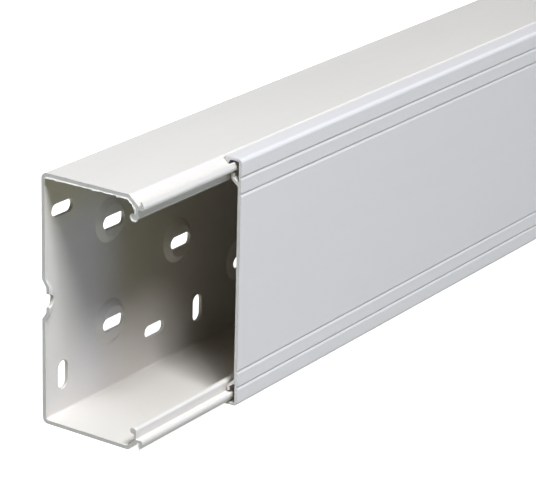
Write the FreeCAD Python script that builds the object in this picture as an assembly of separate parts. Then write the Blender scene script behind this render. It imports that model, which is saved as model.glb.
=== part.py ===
import FreeCAD, Part
import math
import os

# Rigid plastic wiring raceway in two extruded pieces: a back trough that is screwed to the
# wall through slots in its back, and a cover that hooks over the noses on the trough's flanges.
# Row frame: X runs along the length, +Y points at the wall, +Z is up. The raceway stands on its
# lower flange, its origin is on the underside at the middle of the trough, and all sizes are mm.

# Overall size
LENGTH = 1000.0
HEIGHT = 100.0
DEPTH = 49.5
COVER_DRAWN_BACK = 57.0

# Clearances between the two pieces
FIT_GAP = 0.3
NOSE_GAP = 1.3
LEG_TIP_GAP = 0.8
LEG_BACK_GAP = 0.8

# Trough section
TROUGH_WALL = 1.5
BACK_CORNER_R = 2.5
BEND_R = 0.8
BEND_INNER_R = 2.0
CHAMFER_ANGLE = 41.0
GROOVE_DEPTH = 3.8
GROOVE_FLOOR = 0.8
NIB_WALL = 1.5
NIB_TIP = 1.7
NIB_TIP_R = 0.25
NOSE_WALL = 1.25
NOSE_REACH = 2.9
NOSE_CREST_S = 3.6
NOSE_CREST_R = 2.0
NOSE_TIP_SETBACK = 0.8
NOSE_TIP_R = 0.5
NOSE_INNER_SETBACK = 0.25
NOSE_INNER_R = 0.6
LIP_ROOT_R = 1.5
LIP_WALL = 0.9
LIP_END = 9.3
BEAD_WIDTH = 2.7
BEAD_HEIGHT = 2.2
BEAD_R = 1.05
EDGE_R = 0.3

# Cover section
COVER_WALL = 1.5
COVER_EDGE_WALL = 1.2
COVER_FLANGE_WALL = 0.95
COVER_CORNER_R = 1.6
HOOK_DEPTH = 2.3
HOOK_TIP = 0.7
CATCH_ANGLE = 57.0
LEG_ROOT = 9.4
LEG_WALL = 1.0
LEG_ROOT_WALL = 1.6
LEG_FOOT = 1.8
FACE_GROOVE_S = (7.4, 14.1)
FACE_GROOVE_WIDTH = 1.6
FACE_GROOVE_DEPTH = 0.4

# Slots and pads in the trough's back, counted from its sawn near end
END_TO_PATTERN = 10.7
COLUMN_STEP = 28.7
COLUMNS_PER_PITCH = 3
PAD_PAIR_STEPS = 1.0
SWAPPED_STEPS = 2.0
LONE_PAD_STEPS = 2.5
PAD_ROW = 20.8
PLAIN_ROW = 33.4
PAD_SLOT = (13.0, 5.2)
PLAIN_SLOT = (12.4, 5.0)
UPRIGHT_SLOT = (11.4, 5.8)
PAD_BASE_R = 9.0
PAD_TOP_R = 6.9
PAD_RISE = 2.0
PAD_SIDE_COUNT = 14
PLAIN_SLOT_FLAT_COUNT = 4

# Sizes worked out from those above. A section is drawn in (d, s): d is the distance forward
# from the trough's back face, and s the distance in from the flanges' outer plane.
NEAR_END = -LENGTH / 2.0
MIDDLE = HEIGHT / 2.0
PITCH = COLUMNS_PER_PITCH * COLUMN_STEP
CHAMFER_RISE = math.tan(math.radians(CHAMFER_ANGLE))
CHAMFER_COS = math.cos(math.radians(CHAMFER_ANGLE))
NOSE_FRONT = DEPTH - COVER_EDGE_WALL - NOSE_GAP
NIB_BACK = NOSE_FRONT - NIB_WALL
NOSE_INSIDE = GROOVE_DEPTH + NOSE_WALL
BEND = NIB_BACK - GROOVE_FLOOR - GROOVE_DEPTH / CHAMFER_RISE
LIP_FRONT = NOSE_FRONT - NOSE_REACH
LIP_BACK = LIP_FRONT - LIP_WALL
CUTTER_REACH = PAD_RISE + 2.0 * TROUGH_WALL


def vector(x, d, s):
    """Turn a place along the length and a section point into the row frame."""
    return FreeCAD.Vector(x, DEPTH / 2.0 - d, s)


def chamfer_s(d, inward):
    """Height of the chamfer's plane at depth d, moved inward by a wall or outward by a gap."""
    return (d - BEND) * CHAMFER_RISE + inward / CHAMFER_COS


def chamfer_d(s, inward):
    """Depth at which the chamfer's plane, moved inward or outward, reaches height s."""
    return BEND + (s - inward / CHAMFER_COS) / CHAMFER_RISE


def mirrored(corners):
    """The same corners on the other flange, in the opposite order."""
    return [(d, HEIGHT - s, radius) for d, s, radius in reversed(corners)]


def rounded_wire(x, corners):
    """Closed outline through (d, s, radius) corners, with a tangent arc at each radius."""
    points = [vector(x, d, s) for d, s, _ in corners]
    edges = []
    starts = []
    ends = []
    arcs = []
    for index, (_, _, radius) in enumerate(corners):
        corner = points[index]
        to_last = (points[index - 1] - corner).normalize()
        to_next = (points[(index + 1) % len(points)] - corner).normalize()
        half_turn = to_last.getAngle(to_next) / 2.0
        cut = radius / math.tan(half_turn)
        bisector = (to_last + to_next).normalize()
        middle = corner + bisector * (radius / math.sin(half_turn) - radius)
        starts.append(corner + to_last * cut)
        ends.append(corner + to_next * cut)
        arcs.append(middle)
    for index, (_, _, radius) in enumerate(corners):
        edges.append(Part.makeLine(ends[index - 1], starts[index]))
        if radius > 0.0:
            edges.append(Part.Arc(starts[index], arcs[index], ends[index]).toShape())
    return Part.Wire(edges)


def extruded(x, length, corners):
    """Solid stock of one section, from x along the length."""
    return Part.Face(rounded_wire(x, corners)).extrude(FreeCAD.Vector(length, 0.0, 0.0))


def trough_outer():
    """Outside of the lower flange, from the rolled lip round the nose to the back corner."""
    return [
        (LIP_FRONT, LIP_END, BEAD_R),
        (LIP_FRONT, NOSE_INSIDE, EDGE_R),
        (NOSE_FRONT - NOSE_INNER_SETBACK, NOSE_INSIDE, NOSE_INNER_R),
        (NOSE_FRONT, NOSE_CREST_S, NOSE_CREST_R),
        (NOSE_FRONT - NOSE_TIP_SETBACK, NIB_TIP, NOSE_TIP_R),
        (NIB_BACK, NIB_TIP, NIB_TIP_R),
        (NIB_BACK, GROOVE_DEPTH, EDGE_R),
        (chamfer_d(GROOVE_DEPTH, 0.0), GROOVE_DEPTH, EDGE_R),
        (BEND, 0.0, BEND_R),
        (0.0, 0.0, BACK_CORNER_R),
    ]


def trough_inner():
    """Inside of the lower flange, from the back corner to the rolled lip's bead."""
    bead_back = LIP_FRONT - BEAD_WIDTH
    bead_start = LIP_END - BEAD_HEIGHT
    return [
        (TROUGH_WALL, TROUGH_WALL, BACK_CORNER_R - TROUGH_WALL),
        (chamfer_d(TROUGH_WALL, TROUGH_WALL), TROUGH_WALL, BEND_INNER_R),
        (LIP_BACK, chamfer_s(LIP_BACK, TROUGH_WALL), LIP_ROOT_R),
        (LIP_BACK, bead_start, EDGE_R),
        (bead_back, bead_start, BEAD_R),
        (bead_back, LIP_END, BEAD_R),
    ]


def cover_outer():
    """Outside of the cover's lower half, from the hook's tip to the last groove in its face."""
    corners = [
        (chamfer_d(HOOK_TIP, -FIT_GAP), HOOK_TIP, 0.0),
        (chamfer_d(HOOK_TIP, -FIT_GAP), 0.0, HOOK_TIP / 2.0),
        (DEPTH, 0.0, COVER_CORNER_R),
    ]
    for centre in FACE_GROOVE_S:
        corners.append((DEPTH, centre - FACE_GROOVE_WIDTH / 2.0, 0.0))
        corners.append((DEPTH - FACE_GROOVE_DEPTH, centre, 0.0))
        corners.append((DEPTH, centre + FACE_GROOVE_WIDTH / 2.0, 0.0))
    return corners


def cover_inner():
    """Inside of the cover's lower half, from the root of its leg to the hook's point."""
    edge_face = DEPTH - COVER_EDGE_WALL
    leg_back = LIP_FRONT + LEG_BACK_GAP
    leg_front = leg_back + LEG_WALL
    leg_tip = NOSE_INSIDE + LEG_TIP_GAP
    knee = leg_tip + LEG_FOOT
    hook_point = chamfer_d(HOOK_DEPTH, -FIT_GAP)
    catch = (HOOK_DEPTH - COVER_FLANGE_WALL) / math.tan(math.radians(CATCH_ANGLE))
    return [
        (DEPTH - COVER_WALL, LEG_ROOT + LEG_ROOT_WALL, 0.0),
        (leg_back, knee + LEG_WALL / 2.0, EDGE_R),
        (leg_back, leg_tip, EDGE_R),
        (leg_front, leg_tip, EDGE_R),
        (leg_front, knee, 0.0),
        (edge_face, LEG_ROOT, 0.0),
        (edge_face, COVER_FLANGE_WALL, COVER_CORNER_R - COVER_FLANGE_WALL),
        (hook_point + catch, COVER_FLANGE_WALL, 0.0),
        (hook_point, HOOK_DEPTH, EDGE_R),
    ]


def ring(x, d, z, radius, first, last, sides):
    """Points on a round in the plane of the back, from one angle to another in equal steps."""
    points = []
    for step in range(sides + 1):
        angle = first + (last - first) * step / sides
        points.append(vector(x + radius * math.cos(angle), d, z + radius * math.sin(angle)))
    return points


def through_back(outline):
    """Cutter of one outline that goes right through the back and any pad on it."""
    return Part.Face(outline).extrude(FreeCAD.Vector(0.0, CUTTER_REACH + TROUGH_WALL, 0.0))


def pad_slot_cutter(x, z):
    """Cutter for a pad's level slot, with the true round ends that a screw is fitted to."""
    radius = PAD_SLOT[1] / 2.0
    half = PAD_SLOT[0] / 2.0 - radius
    quarter = math.pi / 2.0
    far = ring(x + half, CUTTER_REACH, z, radius, -quarter, quarter, 2)
    near = ring(x - half, CUTTER_REACH, z, radius, quarter, 3.0 * quarter, 2)
    edges = [
        Part.Arc(*far).toShape(),
        Part.makeLine(far[-1], near[0]),
        Part.Arc(*near).toShape(),
        Part.makeLine(near[-1], far[0]),
    ]
    return through_back(Part.Wire(edges))


def plain_slot_cutter(x, z, size, upright):
    """Cutter for a plain slot, its long side along the length or upright, its ends in flats."""
    radius = size[1] / 2.0
    half = size[0] / 2.0 - radius
    turn = math.pi / 2.0 if upright else 0.0
    points = []
    for end in (turn, turn + math.pi):
        end_x = x + half * math.cos(end)
        end_z = z + half * math.sin(end)
        first = end - math.pi / 2.0
        last = end + math.pi / 2.0
        points += ring(end_x, CUTTER_REACH, end_z, radius, first, last, PLAIN_SLOT_FLAT_COUNT)
    points.append(points[0])
    return through_back(Part.makePolygon(points))


def column_places(steps, half_size):
    """Places along the stock of the pattern's column that lies some steps past its first."""
    places = []
    x = END_TO_PATTERN + steps * COLUMN_STEP - PITCH
    while x - half_size < LENGTH:
        if x + half_size > 0.0:
            places.append(NEAR_END + x)
        x += PITCH
    return places


def pad_places():
    """Centres of the raised pads: pairs of pads, and a single one at mid-height between."""
    places = []
    for x in column_places(PAD_PAIR_STEPS, PAD_BASE_R):
        places.append((x, MIDDLE - PAD_ROW))
        places.append((x, MIDDLE + PAD_ROW))
    for x in column_places(LONE_PAD_STEPS, PAD_BASE_R):
        places.append((x, MIDDLE))
    return places


def pad_cone(x, z, inset):
    """Cone of a pad's inner face, or with an inset of one wall the hollow behind the pad."""
    slope = (PAD_BASE_R - PAD_TOP_R) / PAD_RISE
    shrink = inset * (math.sqrt(1.0 + slope * slope) - slope)
    overlap = TROUGH_WALL / 2.0
    foot_d = TROUGH_WALL - inset - overlap
    foot_r = PAD_BASE_R - shrink + slope * overlap
    foot = ring(x, foot_d, z, foot_r, 0.0, 2.0 * math.pi, PAD_SIDE_COUNT)
    top = ring(x, foot_d + PAD_RISE + overlap, z, PAD_TOP_R - shrink, 0.0, 2.0 * math.pi, PAD_SIDE_COUNT)
    faces = [Part.Face(Part.makePolygon(foot)), Part.Face(Part.makePolygon(top))]
    for side in range(PAD_SIDE_COUNT):
        corners = [foot[side], foot[side + 1], top[side + 1], top[side], foot[side]]
        faces.append(Part.Face(Part.makePolygon(corners)))
    return Part.Solid(Part.Shell(faces))


def stock_block():
    """Block that bounds the stock, which trims a pad that the near end saws through."""
    corner = FreeCAD.Vector(NEAR_END, -DEPTH / 2.0, 0.0)
    return Part.makeBox(LENGTH, DEPTH, HEIGHT, corner)


def trough():
    """Back trough with its pads raised from the inside of the wall and its slots cut."""
    outer = trough_outer()
    inner = trough_inner()
    corners = outer + mirrored(outer) + mirrored(inner) + inner
    stock = extruded(NEAR_END, LENGTH, corners)
    pads = [pad_cone(x, z, 0.0) for x, z in pad_places()]
    hollows = [pad_cone(x, z, TROUGH_WALL) for x, z in pad_places()]
    cutters = [pad_slot_cutter(x, z) for x, z in pad_places()]
    for x in column_places(0.0, PLAIN_SLOT[0] / 2.0):
        cutters.append(plain_slot_cutter(x, MIDDLE + PLAIN_ROW, PLAIN_SLOT, False))
        cutters.append(plain_slot_cutter(x, MIDDLE - PLAIN_ROW, UPRIGHT_SLOT, True))
    for x in column_places(SWAPPED_STEPS, PLAIN_SLOT[0] / 2.0):
        cutters.append(plain_slot_cutter(x, MIDDLE - PLAIN_ROW, PLAIN_SLOT, False))
        cutters.append(plain_slot_cutter(x, MIDDLE + PLAIN_ROW, UPRIGHT_SLOT, True))
    body = stock.fuse(pads).common(stock_block())
    return body.cut(hollows + cutters)


def cover():
    """Cover with its hooks, spring legs and the two grooves along each edge of its face."""
    outer = cover_outer()
    inner = cover_inner()
    corners = outer + mirrored(outer) + mirrored(inner) + inner
    return extruded(NEAR_END + COVER_DRAWN_BACK, LENGTH, corners)


def export(shape, name):
    """Write one piece as a STEP file, as a single clean solid."""
    solid = shape.removeSplitter().Solids[0]
    solid.exportStep(os.path.join("parts", name + ".step"))
    print(name, "valid", solid.isValid(), "volume", round(solid.Volume), "box", solid.BoundBox)


os.makedirs("parts", exist_ok=True)
export(trough(), "trough")
export(cover(), "cover")
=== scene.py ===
import math

import bmesh
import bpy
from mathutils import Matrix, Vector
from mathutils.geometry import delaunay_2d_cdt


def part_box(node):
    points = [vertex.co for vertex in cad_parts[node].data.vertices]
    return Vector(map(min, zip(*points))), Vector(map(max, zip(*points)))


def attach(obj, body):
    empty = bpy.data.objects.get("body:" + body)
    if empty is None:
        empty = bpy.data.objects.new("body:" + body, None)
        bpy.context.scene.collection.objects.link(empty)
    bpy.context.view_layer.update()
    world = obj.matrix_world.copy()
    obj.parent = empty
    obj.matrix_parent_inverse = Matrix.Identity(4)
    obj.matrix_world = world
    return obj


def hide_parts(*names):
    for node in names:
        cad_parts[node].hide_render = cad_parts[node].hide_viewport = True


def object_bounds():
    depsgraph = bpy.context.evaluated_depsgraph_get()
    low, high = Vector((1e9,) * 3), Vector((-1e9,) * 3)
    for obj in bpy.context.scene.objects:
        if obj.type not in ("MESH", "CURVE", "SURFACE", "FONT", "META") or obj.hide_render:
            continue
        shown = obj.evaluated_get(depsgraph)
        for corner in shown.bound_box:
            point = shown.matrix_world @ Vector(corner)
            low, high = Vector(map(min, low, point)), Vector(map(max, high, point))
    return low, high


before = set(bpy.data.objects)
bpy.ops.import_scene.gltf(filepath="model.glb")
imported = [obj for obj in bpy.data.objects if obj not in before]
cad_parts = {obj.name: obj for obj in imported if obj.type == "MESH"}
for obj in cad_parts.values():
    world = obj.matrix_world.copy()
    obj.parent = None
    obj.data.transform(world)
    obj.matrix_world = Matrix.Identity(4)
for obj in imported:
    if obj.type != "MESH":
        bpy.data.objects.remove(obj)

CAD_LOW, CAD_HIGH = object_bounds()
TROUGH_LOW, TROUGH_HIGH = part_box("trough")
COVER_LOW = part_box("cover")[0]
TROUGH_SIZE = TROUGH_HIGH - TROUGH_LOW

bl_info = {
    "name": "Wiring Raceway",
    "version": (1, 0, 0),
    "blender": (4, 5, 0),
    "location": "3D View > Sidebar > Raceway",
    "description": "Builds a slotted wiring raceway with its clip-on cover, sawn ends and a studio",
    "category": "Add Mesh",
}

MM = 0.001

# A section is drawn in (d, s) in millimetres: d is the distance forward from the trough's back
# face, and s the distance in from the flanges' outer plane. X runs along the length, +Y points
# at the wall and +Z is up, as in the CAD frame.
FIT_GAP = 0.3
NOSE_GAP = 1.3
LEG_TIP_GAP = 0.8
LEG_BACK_GAP = 0.8
BACK_CORNER_R = 2.5
BEND_R = 0.8
BEND_INNER_R = 2.0
CHAMFER_RISE = math.tan(math.radians(41.0))
CHAMFER_COS = math.cos(math.radians(41.0))
CATCH_RUN = math.tan(math.radians(57.0))
GROOVE_DEPTH = 3.8
GROOVE_FLOOR = 0.8
NIB_WALL = 1.5
NIB_TIP = 1.7
NIB_TIP_R = 0.25
NOSE_WALL = 1.25
NOSE_REACH = 2.9
NOSE_CREST_S = 3.6
NOSE_CREST_R = 2.0
NOSE_TIP_SETBACK = 0.8
NOSE_TIP_R = 0.5
NOSE_INNER_SETBACK = 0.25
NOSE_INNER_R = 0.6
LIP_ROOT_R = 1.5
LIP_WALL = 0.9
LIP_END = 9.3
BEAD_WIDTH = 2.7
BEAD_HEIGHT = 2.2
BEAD_R = 1.05
EDGE_R = 0.3
COVER_CORNER_R = 1.6
COVER_EDGE_WALL = 1.2
COVER_FLANGE_WALL = 0.95
HOOK_DEPTH = 2.3
HOOK_TIP = 0.7
HOOK_TIP_R = 0.05
HOOK_CATCH_R = 0.15
LEG_ROOT = 9.4
LEG_WALL = 1.0
LEG_ROOT_WALL = 1.6
LEG_FOOT = 1.8
LEG_ROOT_R = 1.0
LEG_KNEE_R = 0.8
LEG_TIP_R = 0.35
LEG_FACE_R = 0.4
FACE_GROOVES = (7.4, 14.1)
FACE_GROOVE_WIDTH = 1.6
FACE_GROOVE_DEPTH = 0.4
FACE_GROOVE_R = 0.25
FACE_GROOVE_ROOT_R = 0.12

PAD_TOP_R = 6.3
HOLLOW_TOP_R = 6.1
HOLLOW_INSET = 0.35

# The near end's own stretch stops at this share of a column step past the first column
NEAR_STRETCH = 0.45

# Fineness of the meshes
ARC_STEP = math.radians(10.0)
GUARD = 0.15
GUARDED_RUN = 6.0 * GUARD
PAD_SIDES = 44
PAD_SURROUND = 0.3
ROUNDING_STEPS = 3
SLOT_END_SIDES = 11
MERGE = 0.0005
HOLE_MARGIN = 1e-3
SAME_POINT = 1e-5
SAME_PLANE = 1e-6
SHARP_ANGLE = math.radians(26.0)

# Wear of the edges: full up to this radius and this depth in a rim, and less past them
SHARP_R = 1.0
SHARP_DEPTH = 0.2
ROUND_WEAR = 0.6
SLOT_WEAR = 0.3

# Torn flakes: most twist about each axis in radians, part of the waves' noise that shows, how
# far the waves and chance change a flake's length, and its radii at the tip and at the root
FLAKE_TWIST = (0.25, 0.45, 0.35)
FLAKE_WAVES = (0.38, 0.62)
FLAKE_SWELL = (0.5, 1.2)
FLAKE_CHANCE = (0.7, 1.1)
FLAKE_RADII = (0.2, 0.5)

# Noises: features per metre, stretch along the length, and detail
VINYL_NOISES = {
    "mottling": (22.0, 3.0, 4.0),
    "lines": (1100.0, 260.0, 2.0),
    "broad_lines": (190.0, 60.0, 1.0),
    "grain": (4200.0, 1.0, 2.0),
    "scuff_place": (60.0, 1.0, 3.0),
    "scuff_lines": (1500.0, 14.0, 1.0),
}
CRUMBS = (2600.0, 1.0, 4.0)
PATCHES = (160.0, 1.0, 2.0)
PAPER_GRAIN = (8.0, 1.0, 3.0)

# Parts of those noises that show, from where a mark begins to where it is full
MIDDLE = (0.3, 0.7)
GRAIN_RANGE = (0.35, 0.65)
SCUFF_PLACES = (0.58, 0.70)
SCUFF_LINES = (0.56, 0.66)

# The vinyl's skin: shares of its marks in the shade, the roughness and the relief
BAND_SHARE = 0.6
LEAST_WEAR = 0.2
WORN_SHADE = 0.97
ROUGH_SHARES = {"mottled": 0.04, "scuffs": 0.18, "worn": 0.12}
RELIEF_SHARES = {"lines": 0.6, "broad_lines": 1.4, "grain": 0.35, "scuffs": -0.5}
LINE_RELIEF = 0.5
VINYL_IOR = 1.54

# Specks: cells per metre, share of cells with none, radius in cells, strength and colour
SPECK_CELLS = 75.0
SPECKLESS_CELLS = 0.62
SPECK_R = 0.016
SPECK_STRENGTH = 0.5
SPECK_COLOUR = (0.34, 0.31, 0.27, 1.0)

# Sawn faces: slant and scale of the saw's marks, shares of marks and crumbs, and their range
SAW_SLANT = math.radians(28.0)
SAW_MARKS = 420.0
SAW_SHARE = 0.5
CRUMB_SHARE = 0.7
SAWN_RANGE = (0.6, 1.6)
SAWN_SHADE = (0.88, 1.06)
SAWN_ROUGHNESS = (0.72, 0.92)
SAW_RELIEF = 0.8

PAPER_SHADE = (0.995, 1.0)
WHITE = (1.0, 1.0, 1.0, 1.0)


# Sections

def rounded_chain(corners, closed):
    """Points (d, s, wear) along a section line through (d, s, radius) corners, arcs divided."""
    points = []
    count = len(corners)
    for index, (d, s, radius) in enumerate(corners):
        here = Vector((d, s))
        if not closed and index in (0, count - 1):
            points.append((d, s, 0.0))
            continue
        to_last = (Vector(corners[index - 1][:2]) - here).normalized()
        to_next = (Vector(corners[(index + 1) % count][:2]) - here).normalized()
        half_turn = to_last.angle(to_next) / 2.0
        centre = here + (to_last + to_next).normalized() * (radius / math.sin(half_turn))
        run = radius / math.tan(half_turn)
        start = here + to_last * run - centre
        sweep = start.angle_signed(here + to_next * run - centre)
        steps = max(3, math.ceil(abs(sweep) / ARC_STEP))
        wear = 1.0 if radius < SHARP_R else ROUND_WEAR
        for step in range(steps + 1):
            turned = start.copy()
            turned.rotate(Matrix.Rotation(-sweep * step / steps, 2))
            points.append((centre.x + turned.x, centre.y + turned.y, wear))
    return guarded(points, closed)


def guarded(points, closed):
    """The same points with one more a little way in from each end of every long straight run."""
    result = []
    following = points[1:] + points[:1] if closed else points[1:]
    for a, b in zip(points, following):
        result.append(a)
        run = math.dist(a[:2], b[:2])
        if run > GUARDED_RUN:
            for share in (GUARD / run, 1.0 - GUARD / run):
                d = a[0] + (b[0] - a[0]) * share
                s = a[1] + (b[1] - a[1]) * share
                result.append((d, s, 0.0))
    if not closed:
        result.append(points[-1])
    return result


def flipped(corners, height):
    """The same corners or points on the other flange, in the opposite order."""
    return [(d, height - s, radius) for d, s, radius in reversed(corners)]


class Section:
    """Sizes of the two extrusions in millimetres, and the corner lists that follow from them."""

    def __init__(self, sizes):
        for name in ("length", "height", "depth", "wall", "cover_wall", "drawn_back"):
            setattr(self, name, getattr(sizes, name) / MM)
        self.nose_front = self.depth - COVER_EDGE_WALL - NOSE_GAP
        self.nib_back = self.nose_front - NIB_WALL
        self.nose_inside = GROOVE_DEPTH + NOSE_WALL
        self.bend = self.nib_back - GROOVE_FLOOR - GROOVE_DEPTH / CHAMFER_RISE
        self.lip_front = self.nose_front - NOSE_REACH
        self.lip_back = self.lip_front - LIP_WALL
        self.split = BACK_CORNER_R + 2.0

    def chamfer_s(self, d, inward):
        return (d - self.bend) * CHAMFER_RISE + inward / CHAMFER_COS

    def chamfer_d(self, s, inward):
        return self.bend + (s - inward / CHAMFER_COS) / CHAMFER_RISE

    def flange(self):
        """Lower flange, from the back's inner face round the bead and nose to its rear face."""
        bead_back = self.lip_front - BEAD_WIDTH
        bead_start = LIP_END - BEAD_HEIGHT
        return [
            (self.wall, self.split, 0.0),
            (self.wall, self.wall, BACK_CORNER_R - self.wall),
            (self.chamfer_d(self.wall, self.wall), self.wall, BEND_INNER_R),
            (self.lip_back, self.chamfer_s(self.lip_back, self.wall), LIP_ROOT_R),
            (self.lip_back, bead_start, EDGE_R),
            (bead_back, bead_start, BEAD_R),
            (bead_back, LIP_END, BEAD_R),
            (self.lip_front, LIP_END, BEAD_R),
            (self.lip_front, self.nose_inside, EDGE_R),
            (self.nose_front - NOSE_INNER_SETBACK, self.nose_inside, NOSE_INNER_R),
            (self.nose_front, NOSE_CREST_S, NOSE_CREST_R),
            (self.nose_front - NOSE_TIP_SETBACK, NIB_TIP, NOSE_TIP_R),
            (self.nib_back, NIB_TIP, NIB_TIP_R),
            (self.nib_back, GROOVE_DEPTH, EDGE_R),
            (self.chamfer_d(GROOVE_DEPTH, 0.0), GROOVE_DEPTH, EDGE_R),
            (self.bend, 0.0, BEND_R),
            (0.0, 0.0, BACK_CORNER_R),
            (0.0, self.split, 0.0),
        ]

    def cover_outer(self):
        corners = [
            (self.chamfer_d(HOOK_TIP, -FIT_GAP), HOOK_TIP, HOOK_TIP_R),
            (self.chamfer_d(HOOK_TIP, -FIT_GAP), 0.0, HOOK_TIP / 2.0),
            (self.depth, 0.0, COVER_CORNER_R),
        ]
        half = FACE_GROOVE_WIDTH / 2.0
        for centre in FACE_GROOVES:
            corners += [
                (self.depth, centre - half, FACE_GROOVE_R),
                (self.depth - FACE_GROOVE_DEPTH, centre, FACE_GROOVE_ROOT_R),
                (self.depth, centre + half, FACE_GROOVE_R),
            ]
        return corners

    def cover_inner(self):
        edge_face = self.depth - COVER_EDGE_WALL
        leg_back = self.lip_front + LEG_BACK_GAP
        leg_front = leg_back + LEG_WALL
        leg_tip = self.nose_inside + LEG_TIP_GAP
        knee = leg_tip + LEG_FOOT
        hook_point = self.chamfer_d(HOOK_DEPTH, -FIT_GAP)
        catch = (HOOK_DEPTH - COVER_FLANGE_WALL) / CATCH_RUN
        return [
            (self.depth - self.cover_wall, LEG_ROOT + LEG_ROOT_WALL, LEG_ROOT_R),
            (leg_back, knee + LEG_WALL / 2.0, LEG_KNEE_R),
            (leg_back, leg_tip, LEG_TIP_R),
            (leg_front, leg_tip, LEG_TIP_R),
            (leg_front, knee, EDGE_R),
            (edge_face, LEG_ROOT, LEG_FACE_R),
            (edge_face, COVER_FLANGE_WALL, COVER_CORNER_R - COVER_FLANGE_WALL),
            (hook_point + catch, COVER_FLANGE_WALL, HOOK_CATCH_R),
            (hook_point, HOOK_DEPTH, EDGE_R),
        ]

    def cover(self):
        outer = self.cover_outer()
        inner = self.cover_inner()
        corners = outer + flipped(outer, self.height) + flipped(inner, self.height) + inner
        return rounded_chain(corners, True)

    def flange_chain(self, upper):
        chain = rounded_chain(self.flange(), False)
        return flipped(chain, self.height) if upper else chain

    def torn_lines(self):
        """Edges torn by the saw: under the top flange, and in the lower flange's groove."""
        corners = self.flange()
        upper = flipped(corners[:9], self.height)
        return [rounded_chain(upper, False), rounded_chain(corners[11:15], False)]


# Pads and slots

class Pad:
    """A dished pad: its centre, and its height at any distance from it."""

    # Share of the slope that is rounded off at its foot and again at its top
    ROUNDED = 0.16

    def __init__(self, x, z, rise, top, base):
        self.x, self.z, self.rise, self.top, self.base = x, z, rise, top, base

    def height(self, x, z):
        share = (self.base - math.hypot(x - self.x, z - self.z)) / (self.base - self.top)
        share = min(1.0, max(0.0, share))
        edge = min(share, 1.0 - share)
        run = 1.0 - self.ROUNDED
        if edge < self.ROUNDED:
            curve = edge * edge / (2.0 * self.ROUNDED * run)
        else:
            curve = (edge - self.ROUNDED / 2.0) / run
        return self.rise * (curve if share < 0.5 else 1.0 - curve)

    def rings(self):
        shares = [self.ROUNDED * n / ROUNDING_STEPS for n in range(ROUNDING_STEPS + 1)]
        shares += [1.0 - share for share in reversed(shares)]
        radii = [self.base + (self.top - self.base) * share for share in shares]
        return [self.ring(radius) for radius in [self.base + PAD_SURROUND] + radii]

    def ring(self, radius):
        turns = [2.0 * math.pi * n / PAD_SIDES for n in range(PAD_SIDES)]
        return [(self.x + radius * math.cos(t), self.z + radius * math.sin(t)) for t in turns]


class Slot:
    """A round-ended slot through the back, its long side along the length or upright."""

    def __init__(self, x, z, size, upright):
        self.x, self.z, self.upright = x, z, upright
        self.radius = size[1] / 2.0
        self.half = size[0] / 2.0 - self.radius

    def ring(self, offset):
        """Outline of the slot grown by an offset, anticlockwise as seen from inside."""
        first = 0.0 if self.upright else -math.pi / 2.0
        radius = self.radius + offset
        points = []
        for end, along in ((0, self.half), (1, -self.half)):
            for step in range(SLOT_END_SIDES + 1):
                turn = first + math.pi * (end + step / SLOT_END_SIDES)
                x = radius * math.cos(turn) + (0.0 if self.upright else along)
                z = radius * math.sin(turn) + (along if self.upright else 0.0)
                points.append((self.x + x, self.z + z))
        return points

    def holds(self, x, z, offset):
        u, v = (z - self.z, x - self.x) if self.upright else (x - self.x, z - self.z)
        return math.hypot(max(0.0, abs(u) - self.half), v) < self.radius + offset


def clipped(points, start):
    """(chain, closed) of a round outline with the part before the sawn end left out."""
    if all(x > start for x, _ in points):
        return points, True
    count = len(points)
    chain = []
    first = next(n for n in range(count) if points[n - 1][0] <= start < points[n][0])
    for step in range(-1, count):
        a = points[(first + step) % count]
        b = points[(first + step + 1) % count]
        if step >= 0:
            chain.append(a)
        if (a[0] <= start) != (b[0] <= start):
            share = (start - a[0]) / (b[0] - a[0])
            chain.append((start, a[1] + (b[1] - a[1]) * share))
            if step >= 0:
                break
    return chain, False


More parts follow.
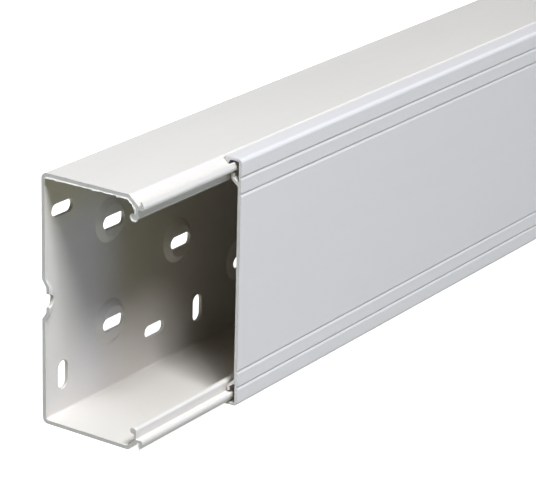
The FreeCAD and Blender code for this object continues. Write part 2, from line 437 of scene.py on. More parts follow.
class Back:
    """The trough's slotted back between two places along the length."""

    # Rings round a slot: how far out from its wall each lies, and how far below the face
    RIM = ((0.40, 0.0), (0.26, 0.0), (0.13, 0.06), (0.04, 0.16), (0.0, 0.30))
    REAR_RIM = ((0.0, 0.22), (0.04, 0.08), (0.14, 0.0), (0.22, 0.0))

    def __init__(self, section, pattern, start, stop):
        self.section = section
        self.start, self.stop = start, stop
        self.pads = []
        self.hollows = []
        self.slots = []
        self.add_columns(pattern)

    def add_columns(self, pattern):
        """Collect the pads and slots of every column that reaches into this stretch."""
        step = pattern.column_step / MM
        pitch = 3.0 * step
        first = pattern.end_to_pattern / MM
        middle = self.section.height / 2.0
        pad_row, plain_row = pattern.pad_row / MM, pattern.plain_row / MM
        pad_slot, level, upright = (
            [side / MM for side in size]
            for size in (pattern.pad_slot, pattern.level_slot, pattern.upright_slot)
        )
        for turn in range(-1, math.ceil(self.section.length / pitch) + 1):
            x = first + turn * pitch
            for steps, row in ((0.0, plain_row), (2.0, -plain_row)):
                self.add_slot(x + steps * step, middle + row, level, False)
                self.add_slot(x + steps * step, middle - row, upright, True)
            for steps, row in ((1.0, -pad_row), (1.0, pad_row), (2.5, 0.0)):
                self.add_pad(x + steps * step, middle + row, pad_slot, pattern)

    def add_slot(self, x, z, size, upright):
        if self.start < x + size[0] / 2.0 and x - size[0] / 2.0 < self.stop:
            self.slots.append(Slot(x, z, size, upright))

    def add_pad(self, x, z, size, pattern):
        base = pattern.pad_radius / MM
        if self.start < x + base and x - base < self.stop:
            rise = pattern.pad_rise / MM
            self.pads.append(Pad(x, z, rise, PAD_TOP_R, base))
            self.hollows.append(Pad(x, z, rise, HOLLOW_TOP_R, base - HOLLOW_INSET))
            self.add_slot(x, z, size, False)

    def lift(self, rear, x, z):
        """Distance forward of the back's inner or rear face at one place."""
        if rear:
            return sum(hollow.height(x, z) for hollow in self.hollows)
        return self.section.wall + sum(pad.height(x, z) for pad in self.pads)

    def face(self, mesh, rear):
        """Add the inner or the rear face of the back, with a fine net round pads and slots."""
        rim = self.REAR_RIM[-2:][::-1] if rear else self.RIM[:2]
        low, high = self.section.split, self.section.height - self.section.split
        outline = [(self.start, low), (self.stop, low), (self.stop, high), (self.start, high)]
        lines = [(outline, True)]
        for pad in self.hollows if rear else self.pads:
            lines += [clipped(ring, self.start) for ring in pad.rings()]
        for slot in self.slots:
            lines += [clipped(slot.ring(offset), self.start) for offset, _ in rim[::-1]]
        points, edges = [], []
        for chain, closed in lines:
            first = len(points)
            points += [Vector(point) for point in chain]
            edges += [(first + n, first + n + 1) for n in range(len(chain) - 1)]
            if closed:
                edges.append((len(points) - 1, first))
        verts, _, faces, _, _, _ = delaunay_2d_cdt(points, edges, [], 0, SAME_POINT)
        cut = rim[-1][0] - HOLE_MARGIN
        for face in faces:
            centre = sum((verts[n] for n in face), Vector((0.0, 0.0))) / len(face)
            if any(slot.holds(*centre, cut) for slot in self.slots):
                continue
            corners = [(verts[n].x, self.lift(rear, *verts[n]), verts[n].y, 0.0) for n in face]
            mesh.add(corners[::-1] if rear else corners)

    def walls(self, mesh):
        """Add the rounded rims and the walls of the slots."""
        for slot in self.slots:
            rows = []
            for rear, rim in ((False, self.RIM[1:]), (True, self.REAR_RIM[:-1])):
                for offset, sunk in rim:
                    chain, closed = clipped(slot.ring(offset), self.start)
                    sink = sunk if rear else -sunk
                    wear = 1.0 if sunk < SHARP_DEPTH else SLOT_WEAR
                    rows.append([(x, self.lift(rear, x, z) + sink, z, wear) for x, z in chain])
            for upper, lower in zip(rows, rows[1:]):
                count = len(upper) if closed else len(upper) - 1
                for n in range(count):
                    m = (n + 1) % len(upper)
                    mesh.add([upper[n], upper[m], lower[m], lower[n]][::-1])


class Builder:
    """Gathers faces in (x, d, s, wear) and turns them into one merged mesh in metres."""

    def __init__(self, section):
        self.section = section
        self.points = []
        self.wear = []
        self.faces = []
        self.known = {}

    def index(self, corner):
        x, d, s, wear = corner
        key = (round(x / MERGE), round(d / MERGE), round(s / MERGE))
        if key not in self.known:
            self.known[key] = len(self.points)
            y = self.section.depth / 2.0 - d
            self.points.append(((x - self.section.length / 2.0) * MM, y * MM, s * MM))
            self.wear.append(wear)
        at = self.known[key]
        self.wear[at] = max(self.wear[at], wear)
        return at

    def add(self, corners):
        face = [self.index(corner) for corner in corners]
        face = [at for n, at in enumerate(face) if at != face[n - 1]]
        if len(face) > 2:
            self.faces.append(face)

    def strips(self, chain, start, stop):
        """Add the side of a section line between two places along the length."""
        for a, b in zip(chain, chain[1:]):
            self.add([(start, *a), (start, *b), (stop, *b), (stop, *a)])

    def mesh(self, name, cuts):
        """Finished mesh, with the open outlines at the given places closed as sawn faces."""
        data = bpy.data.meshes.new(name)
        data.from_pydata(self.points, [], self.faces)
        data.attributes.new("wear", "FLOAT", "POINT").data.foreach_set("value", self.wear)
        data.attributes.new("sawn", "BOOLEAN", "FACE")
        for x, outward in cuts:
            close_outline(data, (x - self.section.length / 2.0) * MM, outward)
        data.validate()
        return data


def close_outline(data, x, outward):
    """Fill the open outlines of a mesh that lie in one plane across the length."""
    net = bmesh.new()
    net.from_mesh(data)
    sawn = net.faces.layers.bool["sawn"]
    rim = [
        edge for edge in net.edges
        if len(edge.link_faces) == 1 and all(abs(v.co.x - x) < SAME_PLANE for v in edge.verts)
    ]
    normal = Vector((outward, 0.0, 0.0))
    made = bmesh.ops.triangle_fill(net, use_beauty=True, edges=rim, normal=normal)
    for item in made["geom"]:
        if isinstance(item, bmesh.types.BMFace):
            item[sawn] = True
            if item.normal.x * outward < 0.0:
                item.normal_flip()
    net.to_mesh(data)
    net.free()


def placed(name, data):
    """New object in the scene."""
    item = bpy.data.objects.new(name, data)
    bpy.context.scene.collection.objects.link(item)
    return item


def set_smooth(data):
    """Smooth shading, with edges kept crisp where two faces meet at more than a slight angle."""
    data.polygons.foreach_set("use_smooth", [True] * len(data.polygons))
    net = bmesh.new()
    net.from_mesh(data)
    for edge in net.edges:
        edge.smooth = len(edge.link_faces) == 2 and edge.calc_face_angle(0.0) < SHARP_ANGLE
    net.to_mesh(data)
    net.free()


# Node helpers

class Tree:
    """Short calls for adding and joining nodes in one node tree."""

    NODE_STEP = 220

    def __init__(self, tree):
        self.tree = tree
        self.count = 0

    def add(self, kind, inputs=None, **settings):
        """New node with its settings, and each input set to a value or joined to a socket."""
        node = self.tree.nodes.new(kind)
        node.location = (self.NODE_STEP * self.count, 0)
        self.count += 1
        for name, value in settings.items():
            setattr(node, name, value)
        for key, value in (inputs or {}).items():
            if isinstance(value, bpy.types.NodeSocket):
                self.tree.links.new(value, node.inputs[key])
            else:
                node.inputs[key].default_value = value
        return node

    def math(self, operation, a, b, clamp=False):
        node = self.add("ShaderNodeMath", {0: a, 1: b}, operation=operation, use_clamp=clamp)
        return node.outputs[0]

    def plus(self, value, extra, weight, clamp=False):
        """A value plus another one times a weight."""
        return self.math("ADD", value, self.math("MULTIPLY", extra, weight), clamp)

    def ranged(self, value, low, high, out_low, out_high):
        return self.add("ShaderNodeMapRange", {
            "Value": value, "From Min": low, "From Max": high,
            "To Min": out_low, "To Max": out_high,
        }).outputs["Result"]

    def vector(self, x, y=0.0, z=0.0):
        return self.add("ShaderNodeCombineXYZ", {0: x, 1: y, 2: z}).outputs["Vector"]

    def join(self, *parts):
        """Several geometries in one."""
        joined = self.add("GeometryNodeJoinGeometry")
        for part in parts:
            self.tree.links.new(part, joined.inputs["Geometry"])
        return joined.outputs["Geometry"]

    def realize(self, geometry):
        node = self.add("GeometryNodeRealizeInstances", {"Geometry": geometry})
        return node.outputs["Geometry"]

    def merge(self, geometry):
        """Geometry with its points merged that lie closer together than the merge distance."""
        return self.add("GeometryNodeMergeByDistance", {
            "Geometry": geometry, "Distance": MERGE * MM,
        }).outputs["Geometry"]


# Geometry Nodes

def geometry_tree(name, inputs):
    """New tree with these inputs, {name: (kind, default)}, a mesh and two materials.

    Gives the tree and the sockets of its inputs.
    """
    group = bpy.data.node_groups.new(name, "GeometryNodeTree")
    kinds = {"Geometry": ("Geometry", None), **inputs}
    kinds.update({label: ("Material", None) for label in ("Plastic", "Sawn Plastic")})
    for label, (kind, default) in kinds.items():
        socket = group.interface.new_socket(
            label, in_out="INPUT", socket_type="NodeSocket" + kind)
        if default is not None:
            socket.default_value = default
    group.interface.new_socket("Geometry", in_out="OUTPUT", socket_type="NodeSocketGeometry")
    tree = Tree(group)
    return tree, tree.add("NodeGroupInput").outputs


def finish_tree(tree, geometry, sockets):
    """End a tree in Realize Instances and Set Material, sawn faces getting their own."""
    coated = tree.add("GeometryNodeSetMaterial", {
        "Geometry": tree.realize(geometry), "Material": sockets["Plastic"],
    })
    sawn = tree.add("GeometryNodeInputNamedAttribute", {"Name": "sawn"}, data_type="BOOLEAN")
    ends = tree.add("GeometryNodeSetMaterial", {
        "Geometry": coated.outputs["Geometry"],
        "Selection": sawn.outputs["Attribute"],
        "Material": sockets["Sawn Plastic"],
    })
    tree.add("NodeGroupOutput", {"Geometry": ends.outputs["Geometry"]})
    return tree.tree


def evaluated(name, data, tree, values):
    """Plain mesh object made by running a geometry tree on a mesh with the given inputs."""
    source = placed(name + "_source", data)
    modifier = source.modifiers.new(name, "NODES")
    modifier.node_group = tree
    for item in tree.interface.items_tree:
        if item.in_out == "INPUT" and item.name in values:
            modifier[item.identifier] = values[item.name]
    source.update_tag()
    bpy.context.view_layer.update()
    graph = bpy.context.evaluated_depsgraph_get()
    result = bpy.data.meshes.new_from_object(source.evaluated_get(graph), depsgraph=graph)
    source.modifiers.remove(modifier)
    bpy.data.objects.remove(source)
    result.name = name
    return placed(name, result)


def repeat_tree():
    """Tree that repeats one pitch of stock along the length and joins the two end stretches."""
    tree, sockets = geometry_tree("Repeat Along Length", {
        "Near End": ("Object", None),
        "Far End": ("Object", None),
        "Count": ("Int", 1),
        "Pitch": ("Float", 0.1),
    })
    line = tree.add("GeometryNodeMeshLine", {
        "Count": sockets["Count"], "Offset": tree.vector(sockets["Pitch"]),
    })
    copies = tree.add("GeometryNodeInstanceOnPoints", {
        "Points": line.outputs["Mesh"], "Instance": sockets["Geometry"],
    })
    ends = [
        tree.add("GeometryNodeObjectInfo", {"Object": sockets[end]}).outputs["Geometry"]
        for end in ("Near End", "Far End")
    ]
    stock = tree.realize(tree.join(copies.outputs["Instances"], *ends))
    return finish_tree(tree, tree.merge(stock), sockets)


def extrusion_tree():
    """Tree that draws a flat section out along the length and closes both ends."""
    tree, sockets = geometry_tree("Section Extrusion", {"Length": ("Float", 1.0)})
    drawn = tree.add("GeometryNodeExtrudeMesh", {
        "Mesh": sockets["Geometry"], "Offset": tree.vector(sockets["Length"]),
        "Offset Scale": 1.0, "Individual": False,
    }, mode="FACES")
    turned = tree.add("GeometryNodeFlipFaces", {"Mesh": sockets["Geometry"]})
    ends = [
        tree.add("GeometryNodeStoreNamedAttribute", {
            "Geometry": geometry, "Name": "sawn", "Value": sawn,
        }, data_type="BOOLEAN", domain="FACE").outputs["Geometry"]
        for geometry, sawn in ((drawn.outputs["Mesh"], drawn.outputs["Top"]),
                               (turned.outputs["Mesh"], True))
    ]
    return finish_tree(tree, tree.merge(tree.join(*ends)), sockets)


def torn_edge_tree():
    """Tree that sets ragged flakes close together along the torn edges of a sawn end."""
    floats = ("Spacing", "Length", "Width", "Thickness", "Waves", "Lowest X", "Highest X")
    tree, sockets = geometry_tree("Torn Edge", {
        **{name: ("Float", 0.0005) for name in floats},
        "Seed": ("Int", 0),
    })
    line = tree.add("GeometryNodeMeshToCurve", {"Mesh": sockets["Geometry"]})
    roots = tree.add("GeometryNodeCurveToPoints", {
        "Curve": line.outputs["Curve"], "Length": sockets["Spacing"],
    }, mode="LENGTH")
    lean = tree.add("GeometryNodeInputNamedAttribute", {"Name": "lean"},
                    data_type="FLOAT_VECTOR")
    upright = tree.add("FunctionNodeAxesToRotation", {
        "Primary Axis": lean.outputs["Attribute"], "Secondary Axis": roots.outputs["Tangent"],
    }, primary_axis="Z", secondary_axis="X")
    twist = tree.add("FunctionNodeRandomValue", {
        "Min": tuple(-turn for turn in FLAKE_TWIST), "Max": FLAKE_TWIST, "Seed": sockets["Seed"],
    }, data_type="FLOAT_VECTOR")
    turned = tree.add("FunctionNodeRotateRotation", {
        "Rotation": upright.outputs["Rotation"], "Rotate By": twist.outputs["Value"],
    }, rotation_space="LOCAL")
    place = tree.add("GeometryNodeInputPosition").outputs["Position"]
    waves = tree.add("ShaderNodeTexNoise", {
        "Vector": place, "Scale": sockets["Waves"], "Detail": 2.0,
    })
    swell = tree.ranged(waves.outputs["Fac"], *FLAKE_WAVES, *FLAKE_SWELL)
    # Inputs 2 and 3 of a random number are its lowest and its highest value
    chance = tree.add("FunctionNodeRandomValue", {
        2: FLAKE_CHANCE[0], 3: FLAKE_CHANCE[1],
    }, data_type="FLOAT")
    length = tree.math("MULTIPLY", sockets["Length"],
                       tree.math("MULTIPLY", swell, chance.outputs[1]))
    flake = tree.add("GeometryNodeMeshCone", {
        "Vertices": 4, "Radius Top": FLAKE_RADII[0], "Radius Bottom": FLAKE_RADII[1],
        "Depth": 1.0,
    })
    flakes = tree.add("GeometryNodeInstanceOnPoints", {
        "Points": roots.outputs["Points"], "Instance": flake.outputs["Mesh"],
        "Rotation": turned.outputs["Rotation"],
        "Scale": tree.vector(sockets["Width"], sockets["Thickness"], length),
    })
    apart = tree.add("ShaderNodeSeparateXYZ", {"Vector": place}).outputs
    kept = tree.math("MINIMUM", tree.math("MAXIMUM", apart["X"], sockets["Lowest X"]),
                     sockets["Highest X"])
    pressed = tree.add("GeometryNodeSetPosition", {
        "Geometry": tree.realize(flakes.outputs["Instances"]),
        "Position": tree.vector(kept, apart["Y"], apart["Z"]),
    })
    return finish_tree(tree, pressed.outputs["Geometry"], sockets)


# Materials

def new_material(name):
    """New material with no nodes yet, and its tree."""
    material = bpy.data.materials.new(name)
    material.use_nodes = True
    material.node_tree.nodes.clear()
    return material, Tree(material.node_tree)


def surface(tree, inputs):
    """End a material in one shader with the given inputs."""
    shader = tree.add("ShaderNodeBsdfPrincipled", inputs)
    tree.add("ShaderNodeOutputMaterial", {"Surface": shader.outputs["BSDF"]})


def object_place(tree):
    return tree.add("ShaderNodeTexCoord").outputs["Object"]


def object_noise(tree, scale, stretch, detail):
    """Noise on Object coordinates: scale in features per metre, stretched along the length."""
    spread = tree.add("ShaderNodeMapping", {
        "Vector": object_place(tree), "Scale": (scale / stretch, scale, scale),
    })
    return tree.add("ShaderNodeTexNoise", {
        "Vector": spread.outputs["Vector"], "Scale": 1.0, "Detail": detail,
    }).outputs["Fac"]


def shaded(tree, base, shade):
    """A colour times a shade."""
    return tree.add("ShaderNodeVectorMath", {0: base, "Scale": shade},
                    operation="SCALE").outputs["Vector"]


def blend(tree, amount, first, second):
    """Colour between two others."""
    return tree.add("ShaderNodeMix", {
        "Factor": amount, "A": first, "B": second,
    }, data_type="RGBA").outputs["Result"]


def relief_normal(tree, height, strength, depth):
    return tree.add("ShaderNodeBump", {
        "Height": height, "Strength": strength, "Distance": depth,
    }).outputs["Normal"]


def plastic(name, base, finish):
    """Satin white vinyl as extruded: draw lines, faint mottling, specks and worn edges."""
    material, tree = new_material(name)
    marks = {label: object_noise(tree, *values) for label, values in VINYL_NOISES.items()}
    wear = tree.add("ShaderNodeAttribute", attribute_name="wear").outputs["Fac"]
    chips = tree.ranged(marks["grain"], *GRAIN_RANGE, LEAST_WEAR, 1.0)
    marks["worn"] = tree.math("MULTIPLY", wear, chips)
    places = tree.ranged(marks["scuff_place"], *SCUFF_PLACES, 0.0, 1.0)
    scratches = tree.ranged(marks["scuff_lines"], *SCUFF_LINES, 0.0, 1.0)
    marks["scuffs"] = tree.math("MULTIPLY", places, scratches)
    marks["mottled"] = tree.ranged(marks["mottling"], *MIDDLE, -1.0, 1.0)
    banded = tree.ranged(marks["broad_lines"], *MIDDLE, -1.0, 1.0)

    most = 1.0 + BAND_SHARE
    shade = tree.ranged(tree.plus(marks["mottled"], banded, BAND_SHARE), -most, most,
                        1.0 - finish.mottle, 1.0 + finish.mottle)
    worn_base = [value * WORN_SHADE for value in base]
    tint = blend(tree, marks["worn"], (*base, 1.0), (*worn_base, 1.0))
    cells = tree.add("ShaderNodeTexVoronoi", {
        "Vector": object_place(tree), "Scale": SPECK_CELLS,
    }).outputs
    chance = tree.add("ShaderNodeSeparateColor", {"Color": cells["Color"]}).outputs["Red"]
    speck = tree.math("MULTIPLY", tree.math("LESS_THAN", cells["Distance"], SPECK_R),
                      tree.math("GREATER_THAN", chance, SPECKLESS_CELLS))
    specked = blend(tree, tree.math("MULTIPLY", speck, SPECK_STRENGTH),
                    shaded(tree, tint, shade), SPECK_COLOUR)

    rough, relief = finish.roughness, 0.0
    for label, share in ROUGH_SHARES.items():
        rough = tree.plus(rough, marks[label], share, clamp=True)
    for label, share in RELIEF_SHARES.items():
        relief = tree.plus(relief, marks[label], share)
    surface(tree, {
        "Base Color": specked,
        "Roughness": rough,
        "IOR": VINYL_IOR,
        "Normal": relief_normal(tree, relief, LINE_RELIEF, finish.line_depth),
    })
    return material


def sawn_plastic(name, base, finish):
    """Chalky cut vinyl with the slanting marks of the saw's teeth."""
    material, tree = new_material(name)
    turned = tree.add("ShaderNodeMapping", {
        "Vector": object_place(tree), "Rotation": (SAW_SLANT, 0.0, 0.0),
    })
    marks = tree.add("ShaderNodeTexWave", {
        "Vector": turned.outputs["Vector"], "Scale": SAW_MARKS, "Distortion": 3.0,
        "Detail": 2.0, "Detail Scale": 1.5,
    }, bands_direction="Y")
    crumbs = object_noise(tree, *CRUMBS)
    patches = object_noise(tree, *PATCHES)
    teeth = tree.math("MULTIPLY", marks.outputs["Fac"], SAW_SHARE)
    mixed = tree.plus(teeth, crumbs, CRUMB_SHARE)
    shade = tree.ranged(tree.math("ADD", mixed, patches), *SAWN_RANGE, *SAWN_SHADE)
    surface(tree, {
        "Base Color": shaded(tree, base, shade),
        "Roughness": tree.ranged(crumbs, *MIDDLE, *SAWN_ROUGHNESS),
        "IOR": VINYL_IOR,
        "Normal": relief_normal(tree, mixed, SAW_RELIEF, finish.saw_depth),
    })
    return material


def vinyl(body, base, finish):
    """Materials of a piece's skin and of its sawn ends, as inputs of its tree."""
    return {
        "Plastic": plastic(body + "_vinyl", base, finish),
        "Sawn Plastic": sawn_plastic(body + "_sawn_vinyl", finish.sawn_colour, finish),
    }


def floor_paper(settings):
    """Paper of the studio floor, white to the camera, with the faintest grain."""
    material, tree = new_material("studio_paper")
    shade = tree.ranged(object_noise(tree, *PAPER_GRAIN), *MIDDLE, *PAPER_SHADE)
    seen = tree.add("ShaderNodeLightPath").outputs["Is Camera Ray"]
    surface(tree, {
        "Base Color": shaded(tree, settings.floor_colour, shade),
        "Roughness": 0.9,
        "Emission Color": WHITE,
        "Emission Strength": tree.ranged(seen, 0.0, 1.0, settings.floor_glow, 1.0),
    })
    return material


# Settings

def number(name, description, value, **more):
    return bpy.props.FloatProperty(name=name, description=description, default=value, **more)


def distance(name, description, value):
    return number(name, description, value, unit="LENGTH", subtype="DISTANCE", precision=4,
                  min=0.0)


def pair(name, description, values):
    return bpy.props.FloatVectorProperty(
        name=name, description=description, default=values, size=2, unit="LENGTH", precision=4)


def factor(name, description, value):
    return number(name, description, value, subtype="FACTOR", min=0.0, max=1.0)


def power(name, description, value):
    return number(name, description, value, unit="POWER", min=0.0)


def angle(name, description, degrees):
    return number(name, description, math.radians(degrees), unit="ROTATION", subtype="ANGLE")


def colour(name, description, value):
    return bpy.props.FloatVectorProperty(
        name=name, description=description, default=value, subtype="COLOR", size=3,
        min=0.0, max=1.0)


class RacewaySizes(bpy.types.PropertyGroup):
    """Overall sizes and walls of the two extrusions."""

    length: distance("Length", "Length of the trough and of the cover", TROUGH_SIZE.x)
    height: distance("Width of Face", "Height of the raceway as it stands", TROUGH_SIZE.z)
    depth: distance("Depth", "From the wall to the cover's face", CAD_HIGH.y - CAD_LOW.y)
    drawn_back: distance("Cover Drawn Back", "Slide of the cover along the trough",
                         COVER_LOW.x - TROUGH_LOW.x)
    wall: distance("Trough Wall", "Thickness of the trough's walls", 0.0015)
    cover_wall: distance("Cover Wall", "Thickness of the cover's face", 0.0015)


class PatternSizes(bpy.types.PropertyGroup):
    """Places and sizes of the pads and slots in the trough's back."""

    end_to_pattern: distance("End to First Column", "Sawn end to the first column", 0.0107)
    column_step: distance("Column Step", "Distance between columns", 0.0287)
    pad_row: distance("Pad Row", "Pads above and below mid-height", 0.0208)
    plain_row: distance("Plain Row", "Plain slots above and below mid-height", 0.0334)
    pad_radius: distance("Pad Radius", "Radius of the foot of a dished pad", 0.00935)
    pad_rise: distance("Pad Rise", "Height of a pad above the back", 0.002)
    pad_slot: pair("Pad Slot", "Length and width of the slot in a pad", (0.013, 0.0052))
    level_slot: pair("Level Slot", "Length and width of a plain level slot", (0.0124, 0.005))
    upright_slot: pair("Upright Slot", "The same of a plain upright slot", (0.0114, 0.0058))


class TornEdges(bpy.types.PropertyGroup):
    """Ragged flakes that the saw leaves along the edges of the trough's near end."""

    setback: distance("Saw Setback", "Sawn face behind the tips of the flakes", 0.0003)
    length: distance("Flake Length", "Usual length of a flake", 0.00065)
    width: distance("Flake Width", "Width of a flake at its root", 0.0006)
    thickness: distance("Flake Thickness", "Thickness of a flake", 0.00016)
    spacing: distance("Flake Spacing", "Distance from flake to flake", 0.00028)
    wave: distance("Wave Length", "Length of the swells in a torn edge", 0.0025)
    lean: angle("Flake Lean", "Outward lean of the flakes from the sawn face", 32.0)
    seed: bpy.props.IntProperty(name="Seed", description="Seed of the flakes", default=7)


class PlasticFinish(bpy.types.PropertyGroup):
    """Colours and surface of the vinyl."""

    trough_colour: colour("Trough Colour", "Base colour of the trough", (0.67, 0.625, 0.57))
    cover_colour: colour("Cover Colour", "Base colour of the cover", (0.67, 0.632, 0.608))
    sawn_colour: colour("Sawn Colour", "Base colour of the sawn ends", (0.87, 0.825, 0.84))
    torn_colour: colour("Torn Colour", "Base colour of the torn flakes", (0.95, 0.93, 0.90))
    roughness: factor("Roughness", "Roughness of the satin skin", 0.42)
    mottle: factor("Mottling", "How much the colour varies along the stock", 0.012)
    line_depth: distance("Draw Line Depth", "Depth of the lines left by the die", 0.000012)
    saw_depth: distance("Saw Mark Depth", "Depth of the marks on the sawn ends", 0.00006)


class StageSettings(bpy.types.PropertyGroup):
    """Floor, lights and camera."""

    floor_colour: colour("Floor Colour", "Colour of the pale floor", (0.35, 0.35, 0.35))
    floor_glow: number("Floor Glow", "Light of the floor in the stock's reflections", 0.85,
                       min=0.0)
    room_light: number("Room Light", "Strength of the even light from above", 0.02, min=0.0)
    bounce_light: number("Bounce Light", "Strength of the even light from below", 0.4, min=0.0)
    key_light: power("Key Light", "Softbox above the front, a little to the left", 19.6)
    top_light: power("Top Light", "Softbox high above the near end", 6.5)
    front_light: power("Front Light", "Low softbox in front, towards the far end", 3.0)
    rear_light: power("Rear Light", "Low softbox behind, for the side against the wall", 10.0)
    far_light: power("Far Light", "Narrow softbox above the far half of the length", 0.35)
    end_light: power("End Light", "Narrow softbox past the far end, looking into it", 0.9)
    far_front_light: power("Far Front Light", "Softbox before the cover when drawn off", 2.8)
    far_rear_light: power("Far Rear Light", "Softbox behind the cover when drawn off", 2.5)
    picture_gamma: number("Picture Gamma", "Gamma of the picture; under 1 deepens shade", 0.86,
                          min=0.1, max=2.0)
    camera_place: bpy.props.FloatVectorProperty(
        name="Camera Place", description="Where the camera stands",
        default=(-1.21739, -0.56363, 0.41677), subtype="XYZ", unit="LENGTH", precision=4)
    camera_heading: angle("Camera Heading", "Turn of the view from straight along +X", 34.194)
    camera_dip: angle("Camera Dip", "Downward slope of the view", 20.344)
    camera_roll: angle("Camera Roll", "Tilt of the camera about the line of view", 1.415)
    lens: number("Lens", "Focal length of the camera", 179.9, subtype="DISTANCE_CAMERA", min=1.0)


# Operators

def stretch(section, pattern, start, stop, cuts):
    """Mesh of the trough between two places along the length, with its sawn ends closed."""
    builder = Builder(section)
    for upper in (False, True):
        builder.strips(section.flange_chain(upper), start, stop)
    back = Back(section, pattern, start, stop)
    back.face(builder, False)
    back.face(builder, True)
    back.walls(builder)
    return builder.mesh("stretch", cuts)


def torn_line_mesh(section, x, lean):
    """Mesh of the torn edge lines at one place along the length, with the flakes' lean."""
    points, edges, leans = [], [], []
    for line in section.torn_lines():
        first = len(points)
        edges += [(first + n, first + n + 1) for n in range(len(line) - 1)]
        for n, (d, s, _) in enumerate(line):
            last, following = line[max(0, n - 1)], line[min(len(line) - 1, n + 1)]
            along = Vector((following[0] - last[0], following[1] - last[1])).normalized()
            points.append((x, (section.depth / 2.0 - d) * MM, s * MM))
            leans += [-math.sin(lean), along.y * math.cos(lean), along.x * math.cos(lean)]
    data = bpy.data.meshes.new("torn_lines")
    data.from_pydata(points, edges, [])
    data.attributes.new("lean", "FLOAT_VECTOR", "POINT").data.foreach_set("vector", leans)
    return data


class RACEWAY_OT_trough(bpy.types.Operator):
    """Build the back trough with its dished pads, slots and sawn ends"""

    bl_idname = "raceway.trough"
    bl_label = "Build Trough"

    def execute(self, context):
        scene = context.scene
        section = Section(scene.raceway_sizes)
        pattern = scene.raceway_pattern
        step = pattern.column_step / MM
        pitch = 3.0 * step
        first = pattern.end_to_pattern / MM + NEAR_STRETCH * step
        count = int((section.length - first) // pitch)
        last = first + count * pitch
        sawn = scene.raceway_torn_edges.setback / MM
        near = stretch(section, pattern, sawn, first, [(sawn, -1.0)])
        far = stretch(section, pattern, last, section.length, [(section.length, 1.0)])
        repeated = stretch(section, pattern, first, first + pitch, [])
        ends = [placed("end", data) for data in (near, far)]
        finish = scene.raceway_finish
        piece = evaluated("trough_shell", repeated, repeat_tree(), {
            "Near End": ends[0],
            "Far End": ends[1],
            "Count": count,
            "Pitch": pitch * MM,
            **vinyl("trough", finish.trough_colour, finish),
        })
        for end in ends:
            bpy.data.objects.remove(end)
        set_smooth(piece.data)
        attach(piece, "trough")
        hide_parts("trough")
        return {"FINISHED"}


class RACEWAY_OT_cover(bpy.types.Operator):
    """Build the clip-on cover with its hooks, spring legs and face grooves"""

    bl_idname = "raceway.cover"
    bl_label = "Build Cover"

    def execute(self, context):
        scene = context.scene
        section = Section(scene.raceway_sizes)
        builder = Builder(section)
        builder.add([(section.drawn_back, *point) for point in reversed(section.cover())])
        finish = scene.raceway_finish
        piece = evaluated("cover_shell", builder.mesh("section", []), extrusion_tree(), {
            "Length": section.length * MM,
            **vinyl("cover", finish.cover_colour, finish),
        })
        set_smooth(piece.data)
        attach(piece, "cover")
        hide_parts("cover")
        return {"FINISHED"}


class RACEWAY_OT_torn_edges(bpy.types.Operator):
    """Set the torn flakes along the sawn near end of the trough"""

    bl_idname = "raceway.torn_edges"
    bl_label = "Build Torn Edges"

    def execute(self, context):
        section = Section(context.scene.raceway_sizes)
        edges = context.scene.raceway_torn_edges
        finish = context.scene.raceway_finish
        end = -section.length / 2.0 * MM
        data = torn_line_mesh(section, end + edges.setback, edges.lean)
        torn = sawn_plastic("trough_torn_vinyl", finish.torn_colour, finish)
        piece = evaluated("trough_torn_edges", data, torn_edge_tree(), {
            **{name.title(): getattr(edges, name)
               for name in ("spacing", "length", "width", "thickness", "seed")},
            "Waves": 1.0 / edges.wave,
            "Lowest X": end,
            "Highest X": end + edges.setback + edges.thickness,
            "Plastic": torn,
            "Sawn Plastic": torn,
        })
        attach(piece, "trough")
        return {"FINISHED"}


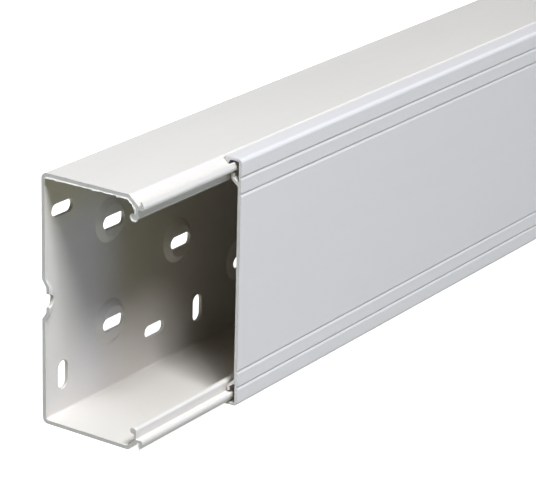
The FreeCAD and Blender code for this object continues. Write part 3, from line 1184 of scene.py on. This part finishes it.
class RACEWAY_OT_stage(bpy.types.Operator):
    """Lay the pale floor, hang the soft studio lights and set up the camera"""

    bl_idname = "raceway.stage"
    bl_label = "Build Stage"

    FLOOR_REACH = 14.0
    HORIZON = (-0.02, 0.02)
    ROOM_COLOUR = (0.91, 1.0, 0.74, 1.0)
    LIT_HEIGHT = 0.05
    LIGHT_DISTANCE = 2.4
    FRONT_TINT = (0.884, 0.928, 1.0)
    REAR_TINT = (0.82, 0.88, 1.0)
    # Each softbox's turn from straight in front towards the far end, its height angle, its size,
    # the place along the length that it faces, its spread and its tint
    SOFTBOXES = {
        "key_light": (-15.0, 60.0, 0.8, -0.75, 90.0, FRONT_TINT),
        "top_light": (-30.0, 75.0, 0.8, -0.75, 90.0, (0.865, 0.943, 1.0)),
        "front_light": (25.0, 11.0, 0.9, -0.75, 90.0, (0.5, 0.6, 1.0)),
        "rear_light": (150.0, 6.0, 1.0, -0.75, 90.0, REAR_TINT),
        "far_light": (-15.0, 60.0, 0.5, 0.42, 16.0, FRONT_TINT),
        "end_light": (90.0, 35.0, 0.5, 0.6, 20.0, FRONT_TINT),
        "far_front_light": (-10.0, 48.0, 0.8, 1.15, 40.0, FRONT_TINT),
        "far_rear_light": (165.0, 6.0, 1.0, 1.0, 50.0, REAR_TINT),
    }

    def execute(self, context):
        settings = context.scene.raceway_stage
        self.lay_floor(settings)
        self.light_room(context.scene, settings)
        for name, (turn, height, size, aim, spread, tint) in self.SOFTBOXES.items():
            light = self.softbox(name, math.radians(turn), math.radians(height), aim)
            light.size = size
            light.spread = math.radians(spread)
            light.color = tint
            light.energy = getattr(settings, name)
        self.set_camera(context.scene, settings)
        return {"FINISHED"}

    def lay_floor(self, settings):
        data = bpy.data.meshes.new("studio_floor")
        reach = self.FLOOR_REACH
        turns = ((-1, -1), (1, -1), (1, 1), (-1, 1))
        corners = [(reach * x, reach * y, 0.0) for x, y in turns]
        data.from_pydata(corners, [], [(0, 1, 2, 3)])
        data.materials.append(floor_paper(settings))
        floor = placed("studio_floor", data)
        floor.visible_diffuse = False
        floor.visible_shadow = False

    def light_room(self, scene, settings):
        """Even light from above and from below, with plain white for the camera to see."""
        world = bpy.data.worlds.new("studio_room")
        scene.world = world
        world.use_nodes = True
        world.node_tree.nodes.clear()
        tree = Tree(world.node_tree)
        direction = tree.add("ShaderNodeTexCoord").outputs["Generated"]
        height = tree.add("ShaderNodeSeparateXYZ", {"Vector": direction}).outputs["Z"]
        strength = tree.ranged(height, *self.HORIZON, settings.bounce_light, settings.room_light)
        room, backdrop = (
            tree.add("ShaderNodeBackground", {"Color": shade, "Strength": value})
            for shade, value in ((self.ROOM_COLOUR, strength), (WHITE, 1.0))
        )
        seen = tree.add("ShaderNodeLightPath").outputs["Is Camera Ray"]
        mixed = tree.add("ShaderNodeMixShader", {
            0: seen, 1: room.outputs["Background"], 2: backdrop.outputs["Background"],
        })
        tree.add("ShaderNodeOutputWorld", {"Surface": mixed.outputs["Shader"]})

    def softbox(self, name, turn, height, aim):
        """Area light hung at a turn and a height angle, facing a place along the length."""
        light = bpy.data.lights.new(name, "AREA")
        softbox = placed(name, light)
        level = math.cos(height)
        away = Vector((math.sin(turn) * level, -math.cos(turn) * level, math.sin(height)))
        softbox.location = Vector((aim, 0.0, self.LIT_HEIGHT)) + away * self.LIGHT_DISTANCE
        softbox.rotation_euler = away.to_track_quat("Z", "Y").to_euler()
        return light

    def set_camera(self, scene, settings):
        data = bpy.data.cameras.new("camera")
        data.lens = settings.lens
        data.clip_start = 0.05
        data.clip_end = 60.0
        camera = placed("camera", data)
        heading = Matrix.Rotation(settings.camera_heading - math.radians(90.0), 4, "Z")
        dip = Matrix.Rotation(math.radians(90.0) - settings.camera_dip, 4, "X")
        roll = Matrix.Rotation(settings.camera_roll, 4, "Z")
        camera.matrix_world = Matrix.Translation(settings.camera_place) @ heading @ dip @ roll
        scene.camera = camera
        scene.view_settings.view_transform = "Standard"
        scene.view_settings.gamma = settings.picture_gamma


# Panel

class RACEWAY_PT_panel(bpy.types.Panel):
    """Sizes, finish and stage of the raceway, and the buttons that build it"""

    bl_idname = "RACEWAY_PT_panel"
    bl_label = "Wiring Raceway"
    bl_space_type = "VIEW_3D"
    bl_region_type = "UI"
    bl_category = "Raceway"

    def draw(self, context):
        scene = context.scene
        for group in (getattr(scene, name) for name in GROUPS):
            box = self.layout.box()
            for name in group.__annotations__:
                box.prop(group, name)
        for operator in OPERATORS:
            self.layout.operator(operator.bl_idname)


OPERATORS = (RACEWAY_OT_trough, RACEWAY_OT_cover, RACEWAY_OT_torn_edges, RACEWAY_OT_stage)
GROUPS = {
    "raceway_sizes": RacewaySizes,
    "raceway_pattern": PatternSizes,
    "raceway_torn_edges": TornEdges,
    "raceway_finish": PlasticFinish,
    "raceway_stage": StageSettings,
}


def register():
    for name, group in GROUPS.items():
        bpy.utils.register_class(group)
        setattr(bpy.types.Scene, name, bpy.props.PointerProperty(type=group))
    for kind in (*OPERATORS, RACEWAY_PT_panel):
        bpy.utils.register_class(kind)


def unregister():
    for kind in (RACEWAY_PT_panel, *reversed(OPERATORS)):
        bpy.utils.unregister_class(kind)
    for name, group in reversed(GROUPS.items()):
        delattr(bpy.types.Scene, name)
        bpy.utils.unregister_class(group)


def main():
    """Build everything in order."""
    register()
    bpy.ops.raceway.trough()
    bpy.ops.raceway.cover()
    bpy.ops.raceway.torn_edges()
    bpy.ops.raceway.stage()


if __name__ == "__main__":
    main()
